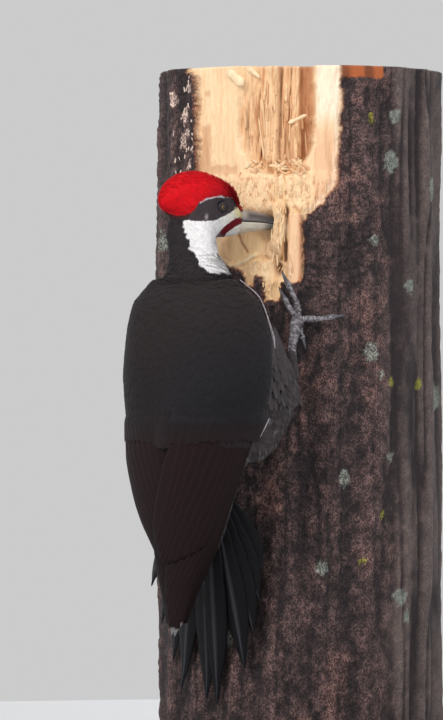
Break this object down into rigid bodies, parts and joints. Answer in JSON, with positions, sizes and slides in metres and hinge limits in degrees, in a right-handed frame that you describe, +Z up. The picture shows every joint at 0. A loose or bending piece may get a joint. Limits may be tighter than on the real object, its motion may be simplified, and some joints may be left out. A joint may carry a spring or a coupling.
{
  "type": "pileated woodpecker model",
  "caption": "Life-size still model of a male pileated woodpecker clinging to a short cut length of trunk and pecking into a fresh pit, on a flat base with rods.",
  "frame": {"origin": "middle of the base's underside", "axes": "+Z up along the trunk, the bird's back towards -Y, its bill towards +X and into the trunk"},
  "size_m": [0.272, 0.352, 0.551],
  "materials": {
    "black_feather": "matte black-brown body and wing feathers with a faint sheen",
    "brown_feather": "worn brown-black flight feathers, slightly glossy shafts",
    "blue_black_feather": "blue-black tail feathers with glossy shafts",
    "head_feather": "short white, black and grey feathers of the face and neck",
    "red_feather": "bright scarlet crown feathers with a soft sheen",
    "grey_feather": "loose sooty flank and thigh feathers with pale edges",
    "slate_horn": "satin slate horn with paler ridges",
    "pale_horn": "satin pale grey horn",
    "eye": "wet glossy amber iris with a black pupil",
    "scaled_skin": "light blue-grey scaly skin",
    "claw_horn": "smooth dark grey horn",
    "bark": "rough dark grey-brown bark with pale fresh wood in the pit",
    "stand": "satin near-black lacquer"
  },
  "bodies": {
    "root": {"body": "grey_feather", "head": "head_feather", "crest": "red_feather", "neck": "head_feather", "bill_upper": "slate_horn", "bill_lower": "pale_horn", "eye_right": "eye", "wing_right_coverts": "black_feather", "wing_right_secondaries": "brown_feather", "wing_right_primaries": "brown_feather", "leg_right_thigh": "grey_feather", "leg_right_tarsus": "scaled_skin", "leg_right_toe_hallux": "scaled_skin", "leg_right_claw_hallux": "claw_horn", "leg_right_toe_inner": "scaled_skin", "leg_right_claw_inner": "claw_horn", "leg_right_toe_middle": "scaled_skin", "leg_right_claw_middle": "claw_horn", "leg_right_toe_outer": "scaled_skin", "leg_right_claw_outer": "claw_horn", "eye_left": "eye", "wing_left_coverts": "black_feather", "wing_left_secondaries": "brown_feather", "wing_left_primaries": "brown_feather", "leg_left_thigh": "grey_feather", "leg_left_tarsus": "scaled_skin", "leg_left_toe_hallux": "scaled_skin", "leg_left_claw_hallux": "claw_horn", "leg_left_toe_inner": "scaled_skin", "leg_left_claw_inner": "claw_horn", "leg_left_toe_middle": "scaled_skin", "leg_left_claw_middle": "claw_horn", "leg_left_toe_outer": "scaled_skin", "leg_left_claw_outer": "claw_horn", "tail_right_1": "blue_black_feather", "tail_left_1": "blue_black_feather", "tail_right_2": "blue_black_feather", "tail_left_2": "blue_black_feather", "tail_right_3": "blue_black_feather", "tail_left_3": "blue_black_feather", "tail_right_4": "blue_black_feather", "tail_left_4": "blue_black_feather", "tail_right_5": "blue_black_feather", "tail_left_5": "blue_black_feather", "perch_log": "bark", "stand_base": "stand", "stand_rod_left": "stand", "stand_rod_right": "stand"}
  },
  "joints": []
}
